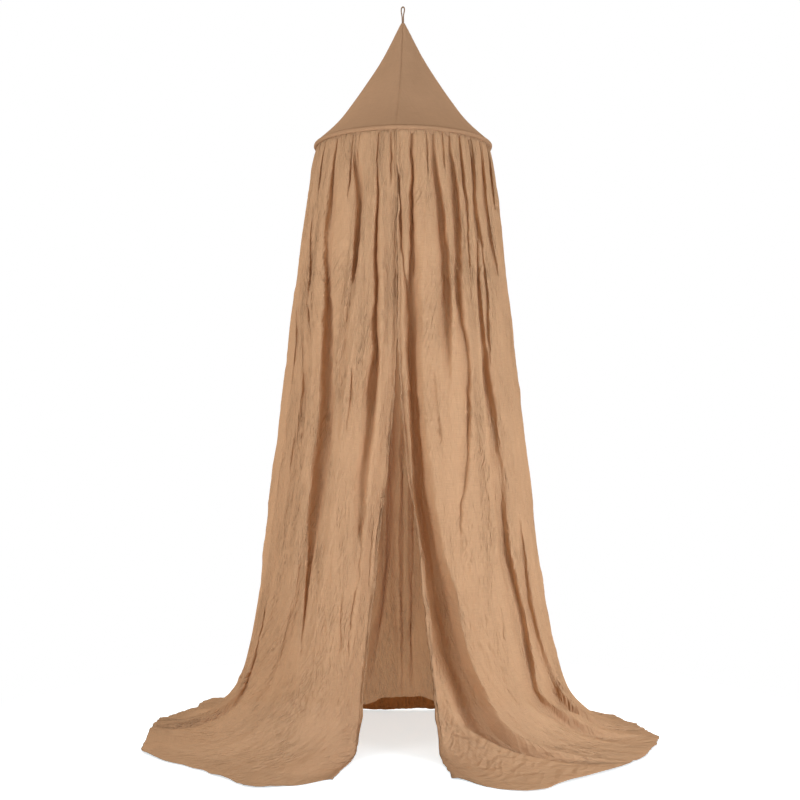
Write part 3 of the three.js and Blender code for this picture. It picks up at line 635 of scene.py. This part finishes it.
def creases(u, v):
    """The relief of the single creases on a grid whose u runs along columns and v along rows."""
    relief = np.zeros_like(u)
    columns, rows = u[0], v[:, 0]
    for place_u, place_v, lean, length, width, height, curve in CREASES:
        reach = length + 3 * width
        left, right = np.searchsorted(columns, [place_u - reach, place_u + reach])
        top, foot = np.searchsorted(rows, [place_v - reach, place_v + reach])
        if left == right or top == foot:
            continue
        du, dv = u[top:foot, left:right] - place_u, v[top:foot, left:right] - place_v
        along = dv * math.cos(lean) - du * math.sin(lean)
        aside = du * math.cos(lean) + dv * math.sin(lean) - curve * along**2
        taper = np.clip(1 - (along / length) ** 2, 0, 1) ** 2
        fall = np.exp(-np.sqrt((aside / width) ** 2 + CREASE_BLUNTNESS))
        relief[top:foot, left:right] += height * taper * fall
    return relief


def crumples(u, v, lie):
    """How far the cloth stands out of its smooth shape, over its own flat coordinates in metres."""
    drifted = u + cloth_noise(u, v, DRIFT)
    patch = np.clip(PATCH_LEVEL + cloth_noise(u, v, PATCHES), *PATCH_LIMITS)
    swell = cloth_noise(drifted, v, WIDE_SWELL) + cloth_noise(drifted, v, NARROW_SWELL)
    lines = cloth_noise(drifted, v, HANG_LINES, ridges) + cloth_noise(drifted, v, CRINKLES, ridges)
    top = np.clip((v - SMOOTH_TOP) / SMOOTH_TOP_FADE, 0, 1) ** SMOOTH_TOP_POWER
    flat = 1 - FLOOR_FLATTENING * lie
    return top * flat * (swell + lines * patch + creases(u, v))


def edge_roll(across, down):
    """The thicker roll of cloth along the two free edges, which stand forward lower down."""
    from_edge = np.minimum(across, LAST_LINE - across) * PANEL_WIDTH / PANEL_FOLDS
    roll = sum(height * bell(from_edge, centre, width) for height, centre, width in EDGE_BELLS)
    low = smooth_step(down, *FORWARD_RISE) * (1 - smooth_step(down, *FORWARD_FALL))
    forward = np.where(across < LAST_LINE / 2, RIGHT_FORWARD, LEFT_FORWARD)
    forward = forward * bell(from_edge, *FORWARD_BELL)
    return roll[None, :] + low[:, None] * forward[None, :]


def cloth_piece(name, points, uv, material):
    """A one-sided piece of cloth from a grid of points, whose faces look outwards."""
    rows, columns = points.shape[:2]
    mesh = bpy.data.meshes.new(name)
    index = np.arange(rows * columns).reshape(rows, columns)
    corners = [index[:-1, :-1], index[1:, :-1], index[1:, 1:], index[:-1, 1:]]
    faces = np.stack(corners, axis=-1).reshape(-1, 4)
    mesh.vertices.add(rows * columns)
    mesh.vertices.foreach_set("co", points.reshape(-1).astype(np.float32))
    mesh.loops.add(faces.size)
    mesh.loops.foreach_set("vertex_index", faces.reshape(-1).astype(np.int32))
    mesh.polygons.add(len(faces))
    mesh.polygons.foreach_set("loop_start", np.arange(0, faces.size, 4, dtype=np.int32))
    layer = mesh.uv_layers.new(name="OFBake")
    layer.data.foreach_set("uv", uv.reshape(-1, 2)[faces.reshape(-1)].reshape(-1).astype(np.float32))
    mesh.update(calc_edges=True)
    mesh.validate()
    mesh.shade_smooth()
    mesh.materials.append(material)
    piece = bpy.data.objects.new(name, mesh)
    bpy.context.collection.objects.link(piece)
    return piece


def linear(red, green, blue):
    """A colour given as it shows on a screen, 0 to 255, made linear."""
    return tuple(((c / 255 + 0.055) / 1.055) ** 2.4 for c in (red, green, blue)) + (1,)


def add_node(tree, kind, settings=None, inputs=None):
    made = tree.nodes.new(kind)
    for key, value in (settings or {}).items():
        setattr(made, key, value)
    for key, value in (inputs or {}).items():
        if isinstance(value, bpy.types.NodeSocket):
            tree.links.new(value, made.inputs[key])
        else:
            made.inputs[key].default_value = value
    return made


def maths(tree, operation, *values):
    made = add_node(tree, "ShaderNodeMath", {"operation": operation})
    for i, value in enumerate(values):
        if isinstance(value, bpy.types.NodeSocket):
            tree.links.new(value, made.inputs[i])
        else:
            made.inputs[i].default_value = value
    return made.outputs[0]


def scaled(tree, vector, x, y):
    made = add_node(tree, "ShaderNodeVectorMath", {"operation": "MULTIPLY"}, {0: vector, 1: (x, y, 1)})
    return made.outputs[0]


# The weave and its faults: counts per metre, across and along the cloth
THREAD = 0.0011
WARP_WANDER = 1.2
WEFT_WANDER = 1.6
SLUBS_ACROSS = (25, 900)
SLUBS_ALONG = (900, 25)
CLOUDS = (9, 5)
FINE_CRINKLES = (150, 42)
DRAG_PATCHES = (7, 4)
# Drag lines: their angle and counts. Where the patches are under the level there are none.
DRAGS = [(0.26, 60, 14), (-0.34, 75, 18)]
DRAG_BLUNTNESS = 0.0006
DRAG_LEVEL = 0.26
DRAG_HEIGHT = -18
# How much slubs, clouds and weave change the tone, each about its own middle
TONE_SHARES = (0.22, 0.16, 0.10)
TONE_MIDDLES = (1.0, 0.5, 0.7)
WEAVE_HEIGHT = 0.10
SLUB_HEIGHT = 0.10


def fabric(name, colour, size, light_through, see_through, crinkle, hem=None):
    """Plain-weave cloth. size is what the UV square stands for in metres."""
    colour = linear(*colour)
    material = bpy.data.materials.new(name)
    material.use_nodes = True
    tree = material.node_tree
    tree.nodes.clear()
    uv = add_node(tree, "ShaderNodeUVMap", {"uv_map": "OFBake"}).outputs[0]
    flat = scaled(tree, uv, size[0], size[1])

    def noise(place, counts, detail, roughness=0.5):
        settings = {"noise_dimensions": "2D"}
        inputs = {"Vector": scaled(tree, place, *counts), "Scale": 1.0, "Detail": detail}
        inputs["Roughness"] = roughness
        return add_node(tree, "ShaderNodeTexNoise", settings, inputs).outputs[0]

    def threads(direction, wander):
        settings = {"wave_type": "BANDS", "bands_direction": direction, "wave_profile": "SIN"}
        inputs = {"Vector": scaled(tree, flat, 2 * math.pi, 2 * math.pi), "Distortion": wander}
        inputs.update({"Scale": 1 / (THREAD * 20), "Detail": 1.0, "Detail Scale": 0.6})
        return add_node(tree, "ShaderNodeTexWave", settings, inputs).outputs[1]

    def drags(angle, *counts):
        turn = {"Vector": flat, "Angle": angle}
        turned = add_node(tree, "ShaderNodeVectorRotate", {"rotation_type": "Z_AXIS"}, turn).outputs[0]
        fold = maths(tree, "SUBTRACT", noise(turned, counts, 1.0, 0.4), 0.5)
        squared = maths(tree, "MULTIPLY", fold, fold)
        return maths(tree, "SQRT", maths(tree, "ADD", squared, DRAG_BLUNTNESS))

    weave = maths(tree, "MAXIMUM", threads("X", WARP_WANDER), threads("Y", WEFT_WANDER))
    slubs = maths(tree, "ADD", noise(flat, SLUBS_ACROSS, 2), noise(flat, SLUBS_ALONG, 2))
    cloudy = noise(flat, CLOUDS, 3)
    crinkles = noise(flat, FINE_CRINKLES, 4, 0.6)
    patches = noise(flat, DRAG_PATCHES, 2)
    drag = maths(tree, "ADD", *(drags(*one) for one in DRAGS))
    drag = maths(tree, "MULTIPLY", drag, maths(tree, "SUBTRACT", patches, DRAG_LEVEL))

    tone = 1.0
    for layer, middle, share in zip((slubs, cloudy, weave), TONE_MIDDLES, TONE_SHARES):
        tone = maths(tree, "MULTIPLY_ADD", maths(tree, "SUBTRACT", layer, middle), share, tone)
    toned = {0: colour[:3], "Scale": tone}
    tint = add_node(tree, "ShaderNodeVectorMath", {"operation": "SCALE"}, toned).outputs[0]
    # The turned-back hem layer, past the cloth's length, is painted darker and warmer as painted shade
    if hem is not None:
        place = add_node(tree, "ShaderNodeSeparateXYZ", None, {0: flat}).outputs[1]
        painted_hem_shade = maths(tree, "GREATER_THAN", place, hem)
        tints = {0: painted_hem_shade, 4: tint, 5: linear(*HEM_PAINTED_SHADE_COLOUR)[:3]}
        tint = add_node(tree, "ShaderNodeMix", {"data_type": "VECTOR"}, tints).outputs[1]
    through = {0: tint, 1: GLOW_TINT}
    glow_tint = add_node(tree, "ShaderNodeVectorMath", {"operation": "MULTIPLY"}, through).outputs[0]

    height = maths(tree, "MULTIPLY", slubs, SLUB_HEIGHT)
    height = maths(tree, "MULTIPLY_ADD", weave, WEAVE_HEIGHT, height)
    height = maths(tree, "MULTIPLY_ADD", crinkles, crinkle, height)
    height = maths(tree, "MULTIPLY_ADD", drag, DRAG_HEIGHT * crinkle, height)
    raised = {"Strength": 1.0, "Distance": 0.001, "Height": height}
    bump = add_node(tree, "ShaderNodeBump", None, raised).outputs[0]

    inputs = {"Base Color": tint, "Roughness": 0.92, "Normal": bump, "Specular IOR Level": 0.0}
    inputs.update({"Sheen Weight": 0.08, "Sheen Roughness": 0.5, "Sheen Tint": colour})
    surface = add_node(tree, "ShaderNodeBsdfPrincipled", None, inputs).outputs[0]
    lit = {"Color": glow_tint, "Normal": bump}
    glow = add_node(tree, "ShaderNodeBsdfTranslucent", None, lit).outputs[0]
    parts = {0: light_through, 1: surface, 2: glow}
    mixed = add_node(tree, "ShaderNodeMixShader", None, parts).outputs[0]
    if see_through > 0:
        clear = add_node(tree, "ShaderNodeBsdfTransparent").outputs[0]
        parts = {0: see_through, 1: mixed, 2: clear}
        mixed = add_node(tree, "ShaderNodeMixShader", None, parts).outputs[0]
    output = add_node(tree, "ShaderNodeOutputMaterial")
    tree.links.new(mixed, output.inputs[0])
    return material


# What each UV square stands for in metres. The curtain's and the strip's have room for their hems.
CURTAIN_UV = (PANEL_WIDTH + UV_MARGIN, CLOTH_LENGTH + UV_MARGIN)
STRIP_UV = (1.6, 0.07)
CROWN_UV = (0.42, 0.46)
LOOP_UV = (0.12, 0.12)
# Colour, UV size, light through, see-through share, crinkle, and where the hem's painted shade starts
curtain_cloth = fabric("curtain_cloth", CURTAIN_COLOUR, CURTAIN_UV, 0.36, 0.012, 2.1, CLOTH_LENGTH)
# The strip's colour is painted darker than the curtain's as painted shade
strip_cloth = fabric("strip_cloth", STRIP_PAINTED_SHADE_COLOUR, STRIP_UV, 0.15, 0, 0.25)
# The crown's colour is painted darker than the curtain's as painted shade
crown_cloth = fabric("crown_cloth", CROWN_PAINTED_SHADE_COLOUR, CROWN_UV, 0.18, 0, 0.10)
loop_cloth = fabric("loop_cloth", LOOP_COLOUR, LOOP_UV, 0.1, 0, 0.15)


def hemmed(count, turned_back, at_start=False, at_end=False):
    """The order of a grid's rows or columns with its hems turned back, and the layer of each."""
    back = list(range(1, turned_back + 1))
    order, layers = list(range(count + 1)), [0] * (count + 1)
    if at_start:
        order, layers = back[::-1] + order, [1] * turned_back + layers
    if at_end:
        order, layers = order + [count - k for k in back], layers + [1] * turned_back
    return order, np.array(layers)


def curtain_panel(name, index, body):
    """One of four panels of one crumpled surface, hemmed at the foot and at the two free edges."""
    first = index * PANEL_FOLDS
    step = PANEL_FOLDS / COLUMNS
    across = first + step * np.arange(-1, COLUMNS + 2)
    down = np.linspace(0, 1, ROWS + 1)
    points, lie = curtain_surface(across, down)
    u = across[None, :] / PANEL_FOLDS * PANEL_WIDTH + 0 * down[:, None]
    v = down[:, None] * CLOTH_LENGTH + 0 * across[None, :]
    relief = crumples(u, v, lie) + edge_roll(across, down)
    points = points + grid_normals(points) * relief[..., None]
    points[..., 2] = np.maximum(points[..., 2], FLOOR + CLOTH)
    normals = grid_normals(points)
    points, normals, u, v = points[:, 1:-1], normals[:, 1:-1], u[:, 1:-1], v[:, 1:-1]

    edge_columns = max(1, round(EDGE_DEPTH / PANEL_WIDTH * COLUMNS))
    rows, row_layers = hemmed(ROWS, round(HEM_DEPTH / CLOTH_LENGTH * ROWS), at_end=True)
    columns, column_layers = hemmed(COLUMNS, edge_columns, index == 0, index == 3)
    layers = row_layers[:, None] + column_layers[None, :]
    picked = np.ix_(rows, columns)
    layered = points[picked] - normals[picked] * (HEM_STEP * layers)[..., None]
    layered[..., 2] = np.maximum(layered[..., 2], FLOOR + CLOTH / 2)
    row_place = np.arange(len(rows)) * CLOTH_LENGTH / ROWS
    column_place = np.arange(len(columns)) * PANEL_WIDTH / COLUMNS
    uv = np.stack(np.meshgrid(column_place / CURTAIN_UV[0], row_place / CURTAIN_UV[1]), axis=-1)
    piece = cloth_piece(name + "_cloth", layered, uv, curtain_cloth)
    if body:
        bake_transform(piece)
    else:
        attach(piece, "canopy")
    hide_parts(name)


# Where the casing's two tails hang, out from the hoop's own line, and how the strip lies round it
OUTER_TAIL = -0.0025
INNER_TAIL = -0.0046
CASING_ARC = (-110, 250)
CASING_ARC_POINTS = 25
CASING_TURNS = 240
WOBBLE = 0.0004
WOBBLE_COUNT = 40
WOBBLE_SEED = 21


def casing():
    """A strip folded round the hoop, with both edges hanging inside the curtain."""
    arc = np.radians(np.linspace(*CASING_ARC, CASING_ARC_POINTS))
    section_r = np.array([OUTER_TAIL, *(CASING_RADIUS * np.cos(arc)), INNER_TAIL])
    section_z = np.array([TAIL_FOOT, *(CASING_RADIUS * np.sin(arc)), TAIL_FOOT])
    around = np.linspace(0, 2 * math.pi, CASING_TURNS + 1)
    wobble_place = around * WOBBLE_COUNT / (2 * math.pi) + 0.5
    wobble = WOBBLE * gradient_noise(wobble_place, around * 0, WOBBLE_SEED)
    wobble[-1] = wobble[0]
    radius = HOOP_RADIUS + section_r[:, None] + wobble[None, :]
    z = HOOP_HEIGHT + section_z[:, None] + 0 * around[None, :]
    x = radius * np.sin(around)[None, :]
    y = -radius * np.cos(around)[None, :]
    points = np.stack([x, y, z], axis=-1)[::-1]
    place = np.linspace(0, 1, len(section_r))
    uv = np.stack(np.meshgrid(around / (2 * math.pi), place), axis=-1)
    piece = cloth_piece("hoop_strip", points, uv, strip_cloth)
    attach(piece, "canopy")
    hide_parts("hoop_casing")


# Crown: the seams' bells (depth, distance from the seam and width), then stretch and pucker
GORE_COLUMNS = 60
GORE_ROWS = 90
SEAM_BELLS = [(0.0018, 0, 0.0018), (-0.0006, 0.006, 0.004)]
STRETCH = 0.0012
STRETCH_COUNTS = (3, 1.6)
STRETCH_SEED = 31
PUCKER = 0.0005
PUCKER_WIDTH = 0.02
PUCKER_COUNT = 34
PUCKER_SEED = 32
CROWN_FADE = 12


def gore(name, index):
    """One of four gores whose edges turn in at the seams."""
    across = np.linspace(0, 1, GORE_COLUMNS + 1)
    down = np.linspace(0, 1, GORE_ROWS + 1)
    azimuth = np.radians(SEAM_TURN + 90 * (index + across))[None, :] + 0 * down[:, None]
    height = CROWN_BASE + (APEX - CROWN_BASE) * (1 - down)
    flare = smooth_table(CROWN_HEIGHTS, CROWN_FLARES, 1 - down)
    radius = CROWN_TOP_RADIUS + (HOOP_RADIUS - CROWN_TOP_RADIUS) * flare
    arc = radius[:, None] * math.pi / 2
    from_seam = np.minimum(across[None, :], 1 - across[None, :]) * arc
    groove = sum(deep * bell(from_seam, centre, width) for deep, centre, width in SEAM_BELLS)
    d = down[:, None] + 0 * azimuth
    stretch = gradient_noise(azimuth * STRETCH_COUNTS[0], d * STRETCH_COUNTS[1], STRETCH_SEED)
    pucker = gradient_noise(azimuth * 0, d * PUCKER_COUNT, PUCKER_SEED)
    pucker = pucker * np.exp(-from_seam / PUCKER_WIDTH)
    fade = np.clip(d * (1 - d) * CROWN_FADE, 0, 1)
    surface = radius[:, None] - groove + fade * (STRETCH * stretch + PUCKER * pucker)
    z = height[:, None] + 0 * azimuth
    points = np.stack([surface * np.sin(azimuth), -surface * np.cos(azimuth), z], axis=-1)
    uv = np.stack([0.5 + (across[None, :] - 0.5) * arc / CROWN_UV[0], d], axis=-1)
    piece = cloth_piece(name + "_cloth", points, uv, crown_cloth)
    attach(piece, "canopy")
    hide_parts(name)


# Loop: half of the tape's path from its tail in the crown up to the top of the eye, as x and z
LOOP_PATH = [
    (-0.0018, -0.062), (-0.0018, -0.040), (-0.0019, -0.026), (-0.0028, -0.020), (-0.0042, -0.013),
    (-0.0047, -0.007), (-0.0044, -0.003), (-0.0030, -0.0002), (-0.001, 0.0017),
]
TAPE_THICKNESS = 0.0034
TAPE_WIDTH = 0.006
TAPE_SQUARENESS = 0.55
TAPE_POINTS = 120
TAPE_SIDES = 17
PATH_SMOOTHING = 5
LOOP_LEAN = 0.0016
LOOP_LEAN_FOOT = -0.05
LOOP_LEAN_TOP = -0.02


def loop():
    """A folded tape with an eye, sewn to itself below it."""
    path = np.array(LOOP_PATH + [(-x, z) for x, z in reversed(LOOP_PATH)])
    steps = np.concatenate([[0], np.cumsum(np.linalg.norm(np.diff(path, axis=0), axis=1))])
    at = np.linspace(0, steps[-1], TAPE_POINTS)
    kernel = np.ones(PATH_SMOOTHING) / PATH_SMOOTHING

    def smoothed(values):
        along = np.pad(np.interp(at, steps, values), PATH_SMOOTHING // 2, "edge")
        return np.convolve(along, kernel, "valid")

    x, z = smoothed(path[:, 0]), smoothed(path[:, 1])
    tx, tz = np.gradient(x), np.gradient(z)
    length = np.hypot(tx, tz)
    nx, nz = -tz / length, tx / length
    around = np.linspace(0, 2 * math.pi, TAPE_SIDES)

    def rounded(at):
        return np.sign(at) * np.abs(at) ** TAPE_SQUARENESS

    side = rounded(np.cos(around)) * TAPE_THICKNESS / 2
    deep = rounded(np.sin(around)) * TAPE_WIDTH / 2
    rise = np.clip((z - LOOP_LEAN_FOOT) / -LOOP_LEAN_FOOT, 0, 1) * np.clip(z / LOOP_LEAN_TOP, 0, 1)
    px = x[:, None] + nx[:, None] * side[None, :] - LOOP_LEAN * rise[:, None]
    pz = z[:, None] + nz[:, None] * side[None, :]
    points = np.stack([px, 0 * px + deep[None, :], pz], axis=-1)
    uv_across = np.linspace(0, 3 * TAPE_WIDTH / STRIP_UV[0], TAPE_SIDES)
    uv = np.stack(np.meshgrid(uv_across, np.linspace(0, 1, TAPE_POINTS)), axis=-1)
    piece = cloth_piece("tape_loop", points, uv, loop_cloth)
    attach(piece, "canopy")
    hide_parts("hanging_loop")


def plastic(name, colour, roughness):
    material = bpy.data.materials.new(name)
    material.use_nodes = True
    tree = material.node_tree
    shader = tree.nodes["Principled BSDF"]
    where = add_node(tree, "ShaderNodeTexCoord").outputs["Object"]
    inputs = {"Vector": where, "Scale": 600.0, "Detail": 3.0}
    grain = add_node(tree, "ShaderNodeTexNoise", None, inputs).outputs[0]
    raised = {"Strength": 0.3, "Distance": 0.0002, "Height": grain}
    bump = add_node(tree, "ShaderNodeBump", None, raised).outputs[0]
    tree.links.new(bump, shader.inputs["Normal"])
    shader.inputs["Base Color"].default_value = linear(*colour)
    shader.inputs["Roughness"].default_value = roughness
    return material


for node_name, finish in (
    ("hoop", plastic("hoop_plastic", TUBE_COLOUR, 0.4)),
    ("hoop_joiner", plastic("joiner_plastic", JOINER_COLOUR, 0.5)),
):
    for material_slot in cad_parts[node_name].material_slots:
        material_slot.material = finish

casing()
for gore_index, gore_name in enumerate(("front_right", "back_right", "back_left", "front_left")):
    gore("crown_gore_" + gore_name, gore_index)
loop()
curtain_panel("curtain_right_front", 0, "right_leaf")
curtain_panel("curtain_back_right", 1, None)
curtain_panel("curtain_back_left", 2, None)
curtain_panel("curtain_left_front", 3, "left_leaf")


# Camera
scene = bpy.context.scene
eye = bpy.data.cameras.new("camera")
eye.lens = 59.36
eye.sensor_width = 36
eye.shift_x = -0.00375
eye.shift_y = 0.05375
camera = bpy.data.objects.new("camera", eye)
camera.location = (0, -3.8, -1.2545)
camera.rotation_euler = (math.pi / 2, 0, 0)
scene.collection.objects.link(camera)
scene.camera = camera
scene.view_settings.view_transform = "Standard"

# Floor: white to the eye where nothing shades it, and white all over further out
bpy.ops.mesh.primitive_plane_add(size=40, location=(0, 0, FLOOR - 0.0005))
floor = bpy.context.object
floor.name = "floor"
floor_paint = bpy.data.materials.new("floor_paint")
floor_paint.use_nodes = True
tree = floor_paint.node_tree
tree.nodes.clear()
matt = add_node(tree, "ShaderNodeBsdfDiffuse", None, {"Color": (0.85, 0.85, 0.85, 1)}).outputs[0]
lift = {"Color": (0.82, 0.95, 1, 1), "Strength": 0.60}
lifted = add_node(tree, "ShaderNodeEmission", None, lift).outputs[0]
bright = add_node(tree, "ShaderNodeEmission", None, {"Strength": 1.0}).outputs[0]
near = add_node(tree, "ShaderNodeAddShader", None, {0: matt, 1: lifted}).outputs[0]
where = add_node(tree, "ShaderNodeTexCoord").outputs["Object"]
away = add_node(tree, "ShaderNodeVectorMath", {"operation": "LENGTH"}, {0: where}).outputs[1]
fade_in = {"Value": away, "From Min": 0.75, "From Max": 1.4}
fade = add_node(tree, "ShaderNodeMapRange", {"interpolation_type": "SMOOTHSTEP"}, fade_in).outputs[0]
shown = add_node(tree, "ShaderNodeMixShader", None, {0: fade, 1: near, 2: bright}).outputs[0]
direct = add_node(tree, "ShaderNodeLightPath").outputs["Is Camera Ray"]
final = add_node(tree, "ShaderNodeMixShader", None, {0: direct, 1: matt, 2: shown}).outputs[0]
tree.links.new(final, add_node(tree, "ShaderNodeOutputMaterial").inputs[0])
floor.data.materials.append(floor_paint)

# World: a bright backdrop behind, a dimmer room in front, both a little warm
BACK_LIGHT = 1.45
ROOM_LIGHT = 0.42
ROOM_TINT = (1.02, 0.975, 0.91, 1)
world = bpy.data.worlds.new("world")
world.use_nodes = True
scene.world = world
tree = world.node_tree
tree.nodes.clear()
direction = add_node(tree, "ShaderNodeTexCoord").outputs["Generated"]
behind = add_node(tree, "ShaderNodeSeparateXYZ", None, {0: direction}).outputs[1]
level_in = {"Value": behind, "From Min": -0.5, "From Max": 0.9}
level_in.update({"To Min": ROOM_LIGHT, "To Max": BACK_LIGHT})
level = add_node(tree, "ShaderNodeMapRange", {"interpolation_type": "SMOOTHSTEP"}, level_in).outputs[0]
seen = add_node(tree, "ShaderNodeBackground", None, {0: (1, 1, 1, 1), 1: 1.0}).outputs[0]
sky = add_node(tree, "ShaderNodeBackground", None, {0: ROOM_TINT, 1: level}).outputs[0]
direct = add_node(tree, "ShaderNodeLightPath").outputs["Is Camera Ray"]
mix = add_node(tree, "ShaderNodeMixShader", None, {0: direct, 1: sky, 2: seen}).outputs[0]
tree.links.new(mix, add_node(tree, "ShaderNodeOutputWorld").inputs[0])


def soft_light(name, place, target, size, power, colour=(1, 1, 1)):
    data = bpy.data.lights.new(name, "AREA")
    data.shape = "RECTANGLE"
    data.size, data.size_y = size
    data.energy = power
    data.color = colour
    lamp = bpy.data.objects.new(name, data)
    lamp.location = place
    direction = np.array(target, float) - np.array(place, float)
    yaw = math.atan2(direction[0], -direction[1])
    pitch = math.atan2(math.hypot(direction[0], direction[1]), -direction[2])
    lamp.rotation_euler = (pitch, 0, yaw + math.pi)
    scene.collection.objects.link(lamp)


# Place, target, size, power and colour of each lamp
soft_light("left", (-2.3, -2.2, -0.95), (0, 0, 1.6), (1.4, 1.2), 65, (0.98, 1.01, 1.05))
soft_light("right", (2.3, -2.2, -1.45), (0, 0, -3.0), (1.4, 1.1), 67, (0.94, 1.01, 1.1))
soft_light("top", (0.3, -1.6, 2.0), (0, 0, -1.6), (2.6, 2.2), 19, (0.98, 1.01, 1.04))
